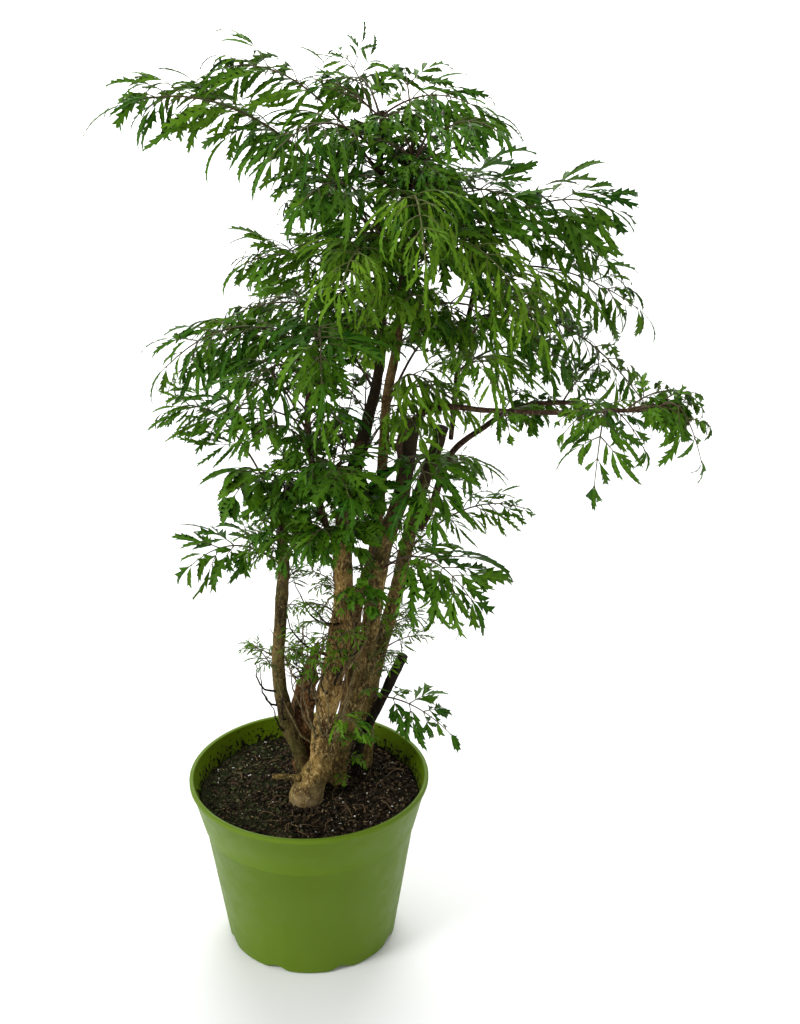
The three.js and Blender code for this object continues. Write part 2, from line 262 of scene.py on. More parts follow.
def leaf_material():
    dark, light = (0.01, 0.058, 0.0015), (0.075, 0.185, 0.006)
    new_growth = (0.18, 0.31, 0.012)
    shadow, vein_green = (0.018, 0.07, 0.002), (0.12, 0.23, 0.02)
    s = Shader("leaf_blade", roughness=0.45, Specular_IOR_Level=0.08)
    tone, across, young = s.tints()
    green = s.mix(tone, dark, light)
    green = s.mix(young, green, new_growth)
    mottled = s.mix(s.ramp(s.noise(420, 3), 0.35, 0.75, 0, 0.35), green, shadow)
    vein = s.ramp(across, 0.02, 0.2, 0.35, 0)
    s.colour(s.mix(vein, mottled, vein_green))
    s.roughness(s.ramp(s.noise(300, 2), 0.3, 0.7, 0.38, 0.55))
    s.bump(s.noise(900, 3), 0.25, 0.4 * MM)
    return s.material


def stalk_material():
    dark_wood, light_wood = (0.028, 0.014, 0.01), (0.085, 0.04, 0.025)
    green, new_growth = (0.07, 0.085, 0.02), (0.15, 0.2, 0.04)
    s = Shader("leaf_stalk", roughness=0.5, Specular_IOR_Level=0.2)
    tone, _, young = s.tints()
    wood = s.mix(s.noise(260, 3), dark_wood, light_wood)
    stalk = s.mix(tone, wood, green)
    s.colour(s.mix(young, stalk, new_growth))
    s.bump(s.noise(900, 2), 0.3, 0.3 * MM)
    return s.material


def bark_material(name, dark, mid, light, moss=0.3, crown_shade=(0.3, 0.42), pale_foot=0.0):
    """Rough speckled bark with a tint of moss in patches. Painted shade from the leaves above turns it
    black between the two given heights, and pale_foot says how much paler its foot is."""
    # The last of these colours is painted shade: the black of bark that the leaves shade.
    moss_green, foot_tan, crown_shade_black = (0.05, 0.06, 0.012), (0.34, 0.26, 0.13), (0.018, 0.013, 0.008)
    s = Shader(name, roughness=0.85, Specular_IOR_Level=0.08)
    height = s.axis("Z")
    long_grain = s.noise(120, 6, s.stretched(1, 1, 0.4), 0.7)
    colour = s.mix(s.ramp(long_grain, 0.4, 0.6), dark, mid)
    speckle = s.noise(620, 5, s.stretched(1, 1, 0.6), 0.75)
    colour = s.mix(s.ramp(speckle, 0.5, 0.66), colour, light)
    pits = s.ramp(s.noise(480, 4, s.stretched(1, 1, 0.7), 0.7), 0.48, 0.36, 0, 0.85)
    colour = s.mix(pits, colour, dark)
    patches = s.ramp(s.noise(42, 4), 0.48, 0.64, 0, moss)
    colour = s.mix(patches, colour, moss_green)
    low = s.ramp(height, FOOT_TOP, FOOT_FULL, 0, pale_foot)
    foot = s.times(low, s.ramp(s.noise(110, 5), 0.35, 0.6, 0.1, 1))
    colour = s.mix(foot, colour, foot_tan)
    # Painted shade: the bark turns near black between the two heights, where the crown's leaves cover
    # the cane.
    high = s.ramp(height, *crown_shade)
    crown_shade_mask = s.times(high, s.ramp(s.noise(60, 3), 0.25, 0.5, 0.6, 0.95))
    s.colour(s.mix(crown_shade_mask, colour, crown_shade_black))
    s.bump(s.plus(long_grain, s.times(speckle, 0.7)), 0.9, 1.4 * MM)
    s.roughness(s.ramp(speckle, 0.4, 0.6, 0.78, 0.95))
    return s.material


def cut_material():
    s = Shader("sawn_wood", roughness=0.8, Specular_IOR_Level=0.1)
    grain = s.noise(700, 4)
    s.colour(s.mix(grain, (0.006, 0.005, 0.004), (0.035, 0.026, 0.018)))
    s.bump(grain, 0.6, 0.8 * MM)
    return s.material


def pot_material():
    shade, lime, scuffed = (0.1, 0.17, 0.009), (0.112, 0.186, 0.012), (0.19, 0.25, 0.05)
    dirt_brown = (0.012, 0.012, 0.006)
    s = Shader("lime_plastic", roughness=0.42, Specular_IOR_Level=0.07)
    green = s.mix(s.ramp(s.noise(14, 3), 0.3, 0.7), shade, lime)
    scuffs = s.ramp(s.noise(60, 6, s.stretched(1, 1, 0.5)), 0.62, 0.8, 0, 0.1)
    green = s.mix(scuffs, green, scuffed)
    dots = s.times(s.ramp(s.cells(75), 0.06, 0.03), s.ramp(s.noise(23, 2), 0.55, 0.6))
    grit = s.times(s.ramp(s.cells(190), 0.09, 0.05), s.ramp(s.noise(31, 2), 0.6, 0.64))
    dirt = s.maths("MAXIMUM", dots, grit)
    s.colour(s.mix(s.times(dirt, 0.85), green, dirt_brown))
    s.roughness(s.ramp(s.noise(90, 4), 0.3, 0.7, 0.38, 0.5))
    s.bump(s.noise(1300, 2), 0.08, 0.2 * MM)
    return s.material


def inner_pot_material():
    """The pot's plastic on its inside, with painted shade and crumbs of soil near the soil."""
    s = Shader("lime_plastic_inside", roughness=0.5, Specular_IOR_Level=0.06)
    green = s.mix(s.noise(20, 3), (0.11, 0.19, 0.004), (0.14, 0.23, 0.006))
    low = s.ramp(s.axis("Z"), SOIL_CRUMB_AND_SHADE_TOP, SOIL_CRUMB_AND_SHADE_FULL)
    crumbs = s.ramp(s.plus(s.noise(420, 4), s.times(low, 0.16)), 0.63, 0.68)
    # Painted shade: the wall turns darker just above the soil, where it meets the soil.
    soil_line_shade = s.times(low, s.ramp(s.noise(80, 4), 0.4, 0.7, 0, 0.6))
    green = s.mix(soil_line_shade, green, (0.04, 0.04, 0.015))
    s.colour(s.mix(crumbs, green, (0.016, 0.012, 0.008)))
    s.bump(crumbs, 0.5, 0.6 * MM)
    return s.material


def soil_material():
    """Dark potting mix with pale bits in it, and moss mostly on the left."""
    dark, brown, pale_bits = (0.003, 0.0025, 0.0015), (0.024, 0.017, 0.01), (0.15, 0.1, 0.055)
    s = Shader("potting_mix", roughness=0.95, Specular_IOR_Level=0.04)
    clods = s.noise(320, 7, rough=0.75)
    colour = s.mix(s.ramp(clods, 0.4, 0.6), dark, brown)
    bits = s.ramp(s.cells(620, "Color"), 0.8, 0.86)
    colour = s.mix(s.times(bits, s.ramp(s.noise(800), 0.4, 0.6)), colour, pale_bits)
    left = s.plus(s.ramp(s.axis("X"), 0.02, -0.05, 0, 0.14), s.noise(90, 6, rough=0.7))
    moss = s.ramp(left, 0.56, 0.68, 0, 0.6)
    s.colour(s.mix(moss, colour, (0.02, 0.03, 0.009)))
    s.bump(s.plus(clods, s.noise(900, 4)), 1.0, 1.6 * MM)
    return s.material


def grain_material(name, dark, light, scale, roughness):
    """Small pieces that lie on the soil, each with a tone of its own, and some with a film of moss."""
    s = Shader(name, roughness=roughness, Specular_IOR_Level=0.06)
    tone, _, moss = s.tints()
    own = s.plus(s.times(s.noise(scale, 4), 0.5), s.maths("SUBTRACT", tone, 0.25))
    s.colour(s.mix(moss, s.mix(own, dark, light), (0.06, 0.075, 0.025)))
    s.bump(s.noise(scale * 3, 3), 0.6, 0.5 * MM)
    return s.material


LEAF = leaf_material()
STALK = stalk_material()
CUT = cut_material()
# Heights above the whole plant, for bark that gets no painted shade.
NEVER = (0.7, 0.8)
TAN = bark_material(
    "tan_bark",
    dark=(0.045, 0.023, 0.007),
    mid=(0.3, 0.19, 0.058),
    light=(0.62, 0.45, 0.19),
    crown_shade=(0.25, 0.33),
    pale_foot=0.7,
)
BROWN = bark_material(
    "brown_bark",
    dark=(0.035, 0.021, 0.007),
    mid=(0.22, 0.15, 0.048),
    light=(0.45, 0.34, 0.135),
    moss=0.45,
    crown_shade=(0.23, 0.34),
)
OLIVE = bark_material(
    "olive_bark",
    dark=(0.03, 0.02, 0.008),
    mid=(0.13, 0.095, 0.032),
    light=(0.27, 0.2, 0.08),
    moss=0.6,
    crown_shade=(0.26, 0.35),
)
STEM = bark_material(
    "stem_bark",
    dark=(0.06, 0.032, 0.011),
    mid=(0.17, 0.105, 0.038),
    light=(0.3, 0.21, 0.09),
    crown_shade=(0.34, 0.5),
)
RUST = bark_material(
    "burl_bark",
    dark=(0.03, 0.012, 0.005),
    mid=(0.17, 0.08, 0.028),
    light=(0.36, 0.2, 0.085),
    moss=0.2,
)
BLACK = bark_material(
    "black_bark",
    dark=(0.006, 0.005, 0.004),
    mid=(0.022, 0.016, 0.011),
    light=(0.07, 0.055, 0.035),
    moss=0.1,
    crown_shade=(0.1, 0.2),
)
YOUNG_WOOD = bark_material(
    "young_stem",
    dark=(0.02, 0.011, 0.007),
    mid=(0.06, 0.034, 0.02),
    light=(0.13, 0.09, 0.05),
    moss=0.2,
    crown_shade=NEVER,
)
TWIG = bark_material(
    "twig_bark",
    dark=(0.06, 0.04, 0.018),
    mid=(0.17, 0.13, 0.06),
    light=(0.32, 0.27, 0.15),
    crown_shade=NEVER,
)


# ---- what the frame says -----------------------------------------------------------------------------
def welded(node):
    """A node's distinct corner points, and its faces in terms of them."""
    mesh = NODES[node].data
    index = {}
    points = []
    where = []
    for v in mesh.vertices:
        key = tuple(round(c / SAME_POINT) for c in v.co)
        if key not in index:
            index[key] = len(points)
            points.append(v.co.copy())
        where.append(index[key])
    return points, [[where[i] for i in p.vertices] for p in mesh.polygons]


def read_cane(node):
    """The centre and radius of each ring of a CAD cane, from its foot to its top.

    Only the middle of an end cap has all its faces in one plane. From the lowest such point, each ring
    is found as the neighbours of the one before.
    """
    points, faces = welded(node)
    around = [set() for _ in points]
    directions = [[] for _ in points]
    for face in faces:
        a, b, c = (points[i] for i in face[:3])
        normal = (b - a).cross(c - a).normalized()
        for i in face:
            around[i].update(face)
            directions[i].append(normal)
    flat = [i for i, ns in enumerate(directions) if all(ns[0].dot(n) > 0.9999 for n in ns)]
    foot = min(flat, key=lambda i: points[i].z)
    seen = {foot}
    ring = [foot]
    rings = []
    while ring:
        beyond = sorted({j for i in ring for j in around[i]} - seen)
        seen.update(beyond)
        if len(beyond) > 1:
            centre = sum((points[i] for i in beyond), Vector()) / len(beyond)
            rings.append((centre, sum((points[i] - centre).length for i in beyond) / len(beyond)))
        ring = beyond
    return rings


def read_leaf(node):
    """A CAD leaf's joint, tip and arch as the points of a quadratic curve, and its sideways half-width.

    The leaf's two ends are its points that lie farthest apart, and the tip has fewer points near it.
    The arch is the one that fits the points along the midrib best.
    """
    end_size = 3.2 * MM
    midrib = 1.6 * MM
    points, _ = welded(node)
    ends = max(((a, b) for a in points for b in points), key=lambda ab: (ab[0] - ab[1]).length)
    near = [[p for p in points if (p - end).length < end_size] for end in ends]
    near.sort(key=len)
    tip, base = (sum(group, Vector()) / len(group) for group in near)
    forward = tip - base
    forward.z = 0
    reach = forward.length
    forward.normalize()
    side = UP.cross(forward)
    lift = weight = 0
    for p in points:
        t = (p - base).dot(forward) / reach
        if abs((p - base).dot(side)) < midrib and 0.05 < t < 0.95:
            bow = 2 * t * (1 - t)
            lift += bow * (p.z - (1 - t) ** 2 * base.z - t * t * tip.z)
            weight += bow * bow
    control = (base + tip) / 2
    control.z = lift / weight
    half = max(abs((p - base).dot(side)) for p in points)
    return {"curve": (base, control, tip), "side": side, "half": half}


def on_curve(curve, t):
    """The point at a share t of a quadratic curve."""
    a, b, c = curve
    return (1 - t) ** 2 * a + 2 * t * (1 - t) * b + t * t * c


def along_curve(curve, t):
    """The direction of a quadratic curve there."""
    a, b, c = curve
    return ((1 - t) * (b - a) + t * (c - b)).normalized()


# ---- leaves ------------------------------------------------------------------------------------------
def add_leaflet(build, rng, base, along, up, length, blade, tint):
    """One leaflet: a folded, toothed blade that twists, droops and curls to a thin tip.

    blade gives its half-width, the share of it kept between teeth, the length of a tooth, and how far
    it droops and curls, in radians.
    """
    side = up.cross(along).normalized()
    over = along.cross(side).normalized()
    fold = rng.uniform(0.1, 0.5)
    sway = rng.uniform(-0.4, 0.4)
    twist = rng.uniform(-0.7, 0.7)
    stations = 2 * max(2, round(0.8 * length / blade["lobe"])) + 4
    step = length / stations
    here = base.copy()
    points = []
    data = []
    for k in range(stations + 1):
        u = k / stations
        bend = blade["droop"] * u + blade["curl"] * u**3
        heading = along * math.cos(bend) - over * math.sin(bend) + side * math.sin(sway * u)
        heading.normalize()
        lifted = over * math.cos(bend) + along * math.sin(bend) + side * math.sin(twist * u)
        out = lifted.cross(heading).normalized()
        lifted = heading.cross(out)
        widening = 0.12 + 0.88 * smoothstep(0, 0.22, u)
        tapering = 1 - 0.9 * smoothstep(0.5, 0.95, u)
        body = blade["width"] * widening * tapering
        for hand in (1, 0, -1):
            reach, lean = 0.0, 0.0
            if hand and k < stations:
                toothed = (k + (hand < 0)) % 2 == 1 and 1 < k < stations - 2
                reach = body * (rng.uniform(0.8, 1.2) if toothed else blade["deep"])
                lean = step * rng.uniform(1.1, 1.9) if toothed else 0.0
            across = hand * out * reach * math.cos(fold)
            points.append(here + across + lifted * reach * math.sin(fold) + heading * lean)
            data.append((tint[0], abs(hand), tint[1]))
        here = here + heading * step
    faces = []
    for k in range(stations):
        a = 3 * k
        faces += [[a, a + 1, a + 3], [a + 1, a + 4, a + 3]]
        faces += [[a + 1, a + 2, a + 4], [a + 2, a + 5, a + 4]]
    build.add(points, faces, 1, data)


# How a deeply cut leaflet differs from the others of its leaf.
CUT_WIDTH = 1.7
CUT_DEEP = 0.5
CUT_LOBE = 1.4


def add_pinna(build, rng, base, along, up, length, style, tint, simple):
    """One side branch of a leaf: a thin arching stalk with five leaflets or fewer, or a single leaflet
    near the leaf's tip."""
    droop = style["droop"] * rng.uniform(0.6, 1.3)
    side = up.cross(along).normalized()
    over = along.cross(side).normalized()
    steps = 5
    step = (0.1 if simple else 0.52) * length / steps
    points = [base.copy()]
    for k in range(steps):
        angle = 0.55 * droop * k / steps
        points.append(points[-1] + (along * math.cos(angle) - over * math.sin(angle)) * step)
    radii = [(0.44 - 0.05 * k) * MM for k in range(steps + 1)]
    add_tube(build, points, radii, 4, (0.6, 0, tint[1]))
    end = (points[-1] - points[-2]).normalized()

    def leaflet(at, turn, size):
        heading = Matrix.Rotation(turn, 3, over) @ end
        tilt = Matrix.Rotation(rng.uniform(-0.7, 0.7), 3, heading)
        own = (tint[0] + rng.uniform(-0.18, 0.18), tint[1])
        cut = rng.random() < style["cut"]
        blade = {
            "width": style["width"] * MM * rng.uniform(0.8, 1.25) * (CUT_WIDTH if cut else 1),
            "deep": style["deep"] * (CUT_DEEP if cut else 1),
            "lobe": style["lobe"] * MM * (CUT_LOBE if cut else 1),
            "droop": droop,
            "curl": rng.uniform(-0.4, 1.3),
        }
        add_leaflet(build, rng, at, heading, tilt @ over, size, blade, own)

    leaflet(points[-1], rng.uniform(-0.2, 0.2), length)
    if simple:
        return
    missing = 0.08
    for at, share in ((points[2], 0.62), (points[4], 0.7)):
        for hand in (1, -1):
            if rng.random() > missing:
                leaflet(at, hand * rng.uniform(0.4, 0.85), share * length * rng.uniform(0.8, 1.25))


# width: half a leaflet across its teeth, in millimetres. deep: the share of it that the blade keeps
# between them. lobe: the length that each tooth takes, in millimetres. cut: the share of leaflets that
# are deeply cut. droop: how far a leaflet bends down, in radians. gap: millimetres between pairs of
# side branches. lift: how far these rise. roll: how far the leaf turns its upper side to the front.
# tone and young: from dark to light green, and to the yellow-green of new growth.
STYLE_KEYS = ("width", "deep", "lobe", "cut", "droop", "gap", "lift", "roll", "tone", "young")
STYLE_ROWS = {
    "plain": (1.65, 0.72, 3.6, 0.3, 1.15, 12, 0.3, 0.5, 0.42, 0.0),
    "raised": (1.7, 0.7, 3.6, 0.35, 1.25, 10, 0.35, 0.6, 0.5, 0.05),
    "fine": (1.15, 0.65, 3, 0.4, 1.1, 9, 0.35, 0.7, 0.55, 0.1),
    "bold": (2.3, 0.64, 4.8, 0.5, 0.8, 11, 0.3, 0.9, 0.3, 0.0),
    "broad": (3.4, 0.88, 2.6, 0.0, 0.6, 22, 0.3, 0.7, 0.45, 0.05),
    "young": (1.35, 0.8, 4.6, 0.1, 1.6, 11, 0.35, 0.4, 0.65, 0.3),
    "sprig": (0.6, 0.7, 3, 0.2, 0.9, 5, 0.4, 0.3, 0.6, 0.2),
}
STYLES = {name: dict(zip(STYLE_KEYS, row)) for name, row in STYLE_ROWS.items()}


def turned_to_front(side, up, roll):
    """Rolls a blade about its own length, so that more of its upper side shows from the front."""
    angle = -roll * side.y
    return side * math.cos(angle) - up * math.sin(angle), up * math.cos(angle) + side * math.sin(angle)


def upward(side, heading):
    """The direction square to both that points up."""
    up = side.cross(heading)
    return up if up.z > 0 else -up


# The shares of a leaf's curve at which its first and last side branches stand.
FIRST_PAIR = 0.26
LAST_PAIR = 0.86
# The share of the roll that the side of a leaf away from the front gets.
BACK_ROLL = 0.35


def add_compound_leaf(build, rng, leaf, style, root=3 * MM):
    """A stalk along the leaf's curve that carries pairs of side branches and ends in a leaflet.

    The stalk starts at a distance of root inside the cane.
    """
    curve, side, half = leaf["curve"], leaf["side"], leaf["half"]
    length = sum((on_curve(curve, (k + 1) / 12) - on_curve(curve, k / 12)).length for k in range(12))
    steps = 14
    points = [on_curve(curve, LAST_PAIR * k / steps) for k in range(steps + 1)]
    points.insert(0, points[0] - along_curve(curve, 0) * root)
    thick = 0.4 * MM + 0.0036 * length
    radii = [thick * 1.3] + [thick * (1 - 0.6 * k / steps) for k in range(steps + 1)]
    young = style["young"]
    fade = [(0, 0, young)] + [(0.7 * k / steps, 0, young) for k in range(steps + 1)]
    add_tube(build, points, radii, 6, fade)
    pairs = max(3, round(length * (LAST_PAIR - FIRST_PAIR) / (style["gap"] * MM)))
    for i in range(pairs + 1):
        t = FIRST_PAIR + (LAST_PAIR - FIRST_PAIR) * (i / pairs) ** 0.92
        heading = along_curve(curve, t)
        share = i / pairs
        up = upward(side, heading)
        reach = half * (0.85 + 0.35 * math.sin(math.pi * min(share + 0.2, 1)) - 0.2 * share)
        for hand in (1, -1):
            angle = (1.05 - 0.55 * share) * rng.uniform(0.75, 1.15)
            lift = style["lift"] * rng.uniform(-0.2, 2.1)
            roll = style["roll"] * (1 if hand * side.y < 0 else BACK_ROLL)
            across, above = turned_to_front(side, up, roll)
            along = heading * math.cos(angle) + hand * across * math.sin(angle) + above * lift
            tone = style["tone"] + rng.uniform(-0.3, 0.3)
            tint = (tone, max(0, young + rng.uniform(-0.15, 0.2)))
            long = reach * rng.uniform(0.85, 1.3)
            simple = i >= pairs - 1
            at = on_curve(curve, t)
            add_pinna(build, rng, at, along.normalized(), above, long, style, tint, simple)
    heading = along_curve(curve, LAST_PAIR)
    up = upward(side, heading)
    blade = {
        "width": 1.1 * style["width"] * MM,
        "deep": style["deep"],
        "lobe": style["lobe"] * MM,
        "droop": 0.8,
        "curl": 0.8,
    }
    long = 0.12 * length + 0.5 * half
    add_leaflet(build, rng, points[-1], heading, up, long, blade, (style["tone"], young))


# The style of each CAD leaf that is not plain.
LEAF_STYLES = {
    "bold": [
        "crown_leaf_12",
        "base_leaf_2",
        "low_leaf_6",
        "low_leaf_3",
        "crown_leaf_8",
        "left_leaf_7",
        "low_leaf_2",
        "low_leaf_4",
    ],
    "fine": [
        "low_leaf_5",
        "low_leaf_7",
        "right_leaf_7",
        "base_leaf_1",
        "left_leaf_9",
        "crown_leaf_3",
        "left_leaf_6",
    ],
    "young": ["crown_leaf_9", "crown_leaf_10", "crown_leaf_11", "right_leaf_8"],
    "raised": ["crown_leaf_1", "crown_leaf_2", "left_leaf_1", "right_leaf_4", "right_leaf_6"],
    "broad": ["low_leaf_1"],
}
STYLE_OF = {leaf: style for style, leaves in LEAF_STYLES.items() for leaf in leaves}
LEAF_SEED = 100

leaf_names = [s["node"] for s in frame["record"]["subparts"] if s["material_slot"] == "leaf"]
for number, name in enumerate(leaf_names):
    build = Builder()
    rng = random.Random(LEAF_SEED + number)
    add_compound_leaf(build, rng, read_leaf(name), STYLES[STYLE_OF.get(name, "plain")])
    leaf = build.piece(name + "_blades", [STALK, LEAF])
    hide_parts(name)


# ---- canes and shoots --------------------------------------------------------------------------------
# name: its bark, how far it swells as a share of its radius, the height of its bark's ridges in
# millimetres, and whether its end is sawn off.
CANES = {
    "front_trunk": (TAN, 0.1, 0.55, False),
    "left_trunk": (OLIVE, 0.07, 0.5, False),
    "slender_trunk": (STEM, 0.05, 0.3, False),
    "right_trunk": (BROWN, 0.09, 0.5, True),
    "rear_trunk": (BROWN, 0.08, 0.4, True),
    "burl_stump": (RUST, 0.3, 1.5, False),
    "cut_stub": (BLACK, 0.1, 0.4, True),
    "left_shoot": (YOUNG_WOOD, 0.05, 0.1, False),
    "long_right_shoot": (YOUNG_WOOD, 0.05, 0.1, False),
    "arching_shoot": (YOUNG_WOOD, 0.05, 0.1, False),
    "upright_shoot": (YOUNG_WOOD, 0.05, 0.1, False),
    "root_peg": (TAN, 0.08, 0.2, True),
}


# How many of each kind of unevenness there are to a metre of bark.
JOINTS = 130
LUMPS = 75
CRUMBS = 900
RIDGES_ACROSS = 420
RIDGES_ALONG = 110


def add_cane(build, rings, swell, rough, sawn):
    """A cane with swollen joints and knobbly bark."""
    steps = 1 + round(0.6 * (rings[1][0] - rings[0][0]).length / MM)
    centres = catmull([c for c, _ in rings], steps)
    tangents, normals = frames_along(centres)
    widest = max(r for _, r in rings)
    sides = 12 if widest < 3 * MM else 28
    points = []
    for i, centre in enumerate(centres):
        span, t = divmod(i, steps)
        low, high = rings[span][1], rings[min(span + 1, len(rings) - 1)][1]
        radius = low + (high - low) * t / steps
        across = tangents[i].cross(normals[i])
        for s in range(sides):
            angle = 2 * math.pi * s / sides
            out = math.cos(angle) * normals[i] + math.sin(angle) * across
            spot = centre + out * radius
            joint = max(0, noise.noise(Vector((centre.z, widest, 0)) * JOINTS)) * swell * 1.5
            lump = noise.noise(spot * LUMPS) * swell + joint
            long_spot = Vector((spot.x * RIDGES_ACROSS, spot.y * RIDGES_ACROSS, spot.z * RIDGES_ALONG))
            ridge = noise.noise(long_spot) * rough * MM
            crumb = noise.noise(spot * CRUMBS) * 0.35 * rough * MM
            points.append(centre + out * (radius * (1 + lump) + ridge + crumb))
    faces = ring_faces(len(centres), sides)
    faces.append(list(range(sides - 1, -1, -1)))
    build.add(points, faces)
    add_cane_top(build, points[-sides:], centres[-1], tangents[-1], sawn)


def add_cane_top(build, rim, centre, along, sawn):
    """The end of a cane: a slightly hollow sawn face, or a rounded tip."""
    hollow = 0.16
    sides = len(rim)
    radius = (rim[0] - centre).length
    inner = []
    for share, drop in ((0.9, 0.0), (0.55, 0.1), (0.2, hollow)):
        height = -drop * radius if sawn else radius * math.sqrt(1 - share * share)
        inner += [centre + (p - centre) * share + along * height for p in rim]
    middle = centre + along * (-hollow * radius if sawn else radius)
    faces = ring_faces(4, sides)
    faces += [[3 * sides + s, 3 * sides + (s + 1) % sides, 4 * sides] for s in range(sides)]
    build.add([*rim, *inner, middle], faces, 1 if sawn else 0)


cane_rings = {name: read_cane(name) for name in CANES}
for name, (bark, swell, rough, sawn) in CANES.items():
    build = Builder()
    add_cane(build, cane_rings[name], swell, rough, sawn)
    cane = build.piece(name + "_bark", [bark, CUT])
    weld = cane.modifiers.new("weld", "WELD")
    weld.merge_threshold = SAME_POINT
    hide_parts(name)


# ---- smaller leaves with no solids of their own ------------------------------------------------------
# name: cane, how many, from which to which share of the cane, from which to which bearing in degrees
# (0 is to the right, 90 to the back), the longest reach in millimetres, how far it rises as a share of
# that, and the style.
SPRAYS = {
    "crown_leaves": ("front_trunk", 34, 0.78, 0.975, 0, 360, 66, 0.05, "plain"),
    "slender_crown_leaves": ("slender_trunk", 22, 0.78, 0.97, 0, 360, 64, 0.05, "plain"),
    "new_crown_leaves": ("slender_trunk", 11, 0.68, 0.86, 235, 340, 72, 0.1, "young"),
    "bold_crown_leaves": ("slender_trunk", 5, 0.86, 0.95, -40, 10, 96, 0.25, "bold"),
    "inner_leaves": ("front_trunk", 17, 0.52, 0.79, 130, 300, 58, 0.2, "plain"),
    "top_leaves": ("front_trunk", 16, 0.96, 1.0, 0, 360, 46, 0.3, "plain"),
    "slender_top_leaves": ("slender_trunk", 11, 0.95, 1.0, 0, 360, 44, 0.25, "plain"),
    "slope_leaves": ("upright_shoot", 2, 0.8, 0.98, -25, 12, 106, -0.3, "raised"),
    "back_leaves": ("front_trunk", 10, 0.54, 0.8, 40, 140, 66, 0.2, "plain"),
    "left_shoot_leaves": ("left_shoot", 13, 0.3, 0.98, 110, 300, 72, 0.1, "plain"),
    "upright_shoot_leaves": ("upright_shoot", 5, 0.35, 0.95, 0, 360, 48, 0.05, "plain"),
    "new_right_leaves": ("upright_shoot", 3, 0.6, 0.95, 200, 350, 55, 0.1, "young"),
    "arching_shoot_leaves": ("arching_shoot", 6, 0.6, 1.0, 200, 380, 42, -0.2, "fine"),
    "long_shoot_leaves": ("long_right_shoot", 7, 0.6, 1.0, -80, 100, 48, 0.1, "plain"),
    "shoot_end_leaves": ("arching_shoot", 7, 0.88, 1.0, -50, 40, 44, -0.15, "raised"),
    "left_trunk_leaves": ("left_trunk", 9, 0.82, 0.99, 90, 330, 42, -0.1, "plain"),
    "broad_middle_leaves": ("front_trunk", 6, 0.52, 0.64, 190, 310, 50, 0.1, "broad"),
    "broad_left_leaves": ("left_trunk", 3, 0.9, 0.99, 230, 350, 46, 0.2, "broad"),
    "right_trunk_leaves": ("right_trunk", 3, 0.66, 0.8, 230, 330, 36, 0.0, "fine"),
    "left_sprigs": ("left_trunk", 15, 0.48, 0.84, 60, 320, 34, 0.25, "sprig"),
    "middle_sprigs": ("front_trunk", 20, 0.4, 0.56, 100, 360, 32, 0.3, "sprig"),
    "right_sprigs": ("right_trunk", 12, 0.3, 0.75, 200, 400, 28, 0.3, "sprig"),
    "rear_sprigs": ("rear_trunk", 14, 0.3, 0.8, -60, 90, 32, 0.2, "sprig"),
    "base_sprigs": ("right_trunk", 6, 0.1, 0.2, 190, 350, 22, 0.2, "sprig"),
    "burl_sprigs": ("burl_stump", 4, 0.5, 0.8, 90, 300, 16, 0.8, "sprig"),
}


def place_on_cane(rng, rings, low, high):
    """The centre and radius of a cane at a random share of its length."""
    at = rng.uniform(low, high) * (len(rings) - 1)
    i = min(int(at), len(rings) - 2)
    return rings[i][0].lerp(rings[i + 1][0], at - i), rings[i][1]


def bearing(angle):
    """The level direction at an angle from the right, in radians."""
    return Vector((math.cos(angle), math.sin(angle), 0))


def spray_leaf(rng, rings, low, high, turn_from, turn_to, longest, rise):
    """A leaf that springs from a random place on a cane and arches outward."""
    centre, radius = place_on_cane(rng, rings, low, high)
    outward = bearing(math.radians(rng.uniform(turn_from, turn_to)))
    reach = longest * MM * rng.uniform(0.55, 1)
    base = centre + outward * radius * 0.9
    tip = base + outward * reach + UP * reach * (rise + rng.uniform(-0.25, 0.25))
    control = (base + tip) / 2 + UP * reach * rng.uniform(0.25, 0.45)
    half = reach * rng.uniform(0.26, 0.36)
    return {"curve": (base, control, tip), "side": UP.cross(outward), "half": half}


SPRAY_SEED = 500
for number, (name, (cane, count, *growth, style)) in enumerate(SPRAYS.items()):
    rng = random.Random(SPRAY_SEED + number)
    build = Builder()
    for _ in range(count):
        leaf = spray_leaf(rng, cane_rings[cane], *growth)
        add_compound_leaf(build, rng, leaf, STYLES[style], 1 * MM)
    leaves = build.piece(name, [STALK, LEAF])


def add_strand(build, rng, rings, low, high, length, thick, drop):
    """One thin crooked strand on a cane: a twig that stands off it, or a root that hangs along it."""
    centre, radius = place_on_cane(rng, rings, low, high)
    outward = bearing(rng.uniform(math.pi, 2 * math.pi))
    heading = (outward + UP * rng.uniform(-0.2, 0.8)).normalized()
    steps = 9
    points = [centre + outward * radius * 0.92]
    for _ in range(steps):
        bend = Vector((rng.uniform(-0.4, 0.4), rng.uniform(-0.4, 0.4), rng.uniform(-0.3, 0.3)))
        heading = (heading + bend - UP * drop).normalized()
        points.append(points[-1] + heading * (length * MM) * rng.uniform(0.6, 1.2) / steps)
    add_tube(build, points, [thick * MM * (1.1 - 0.09 * k) for k in range(steps + 1)], 5)


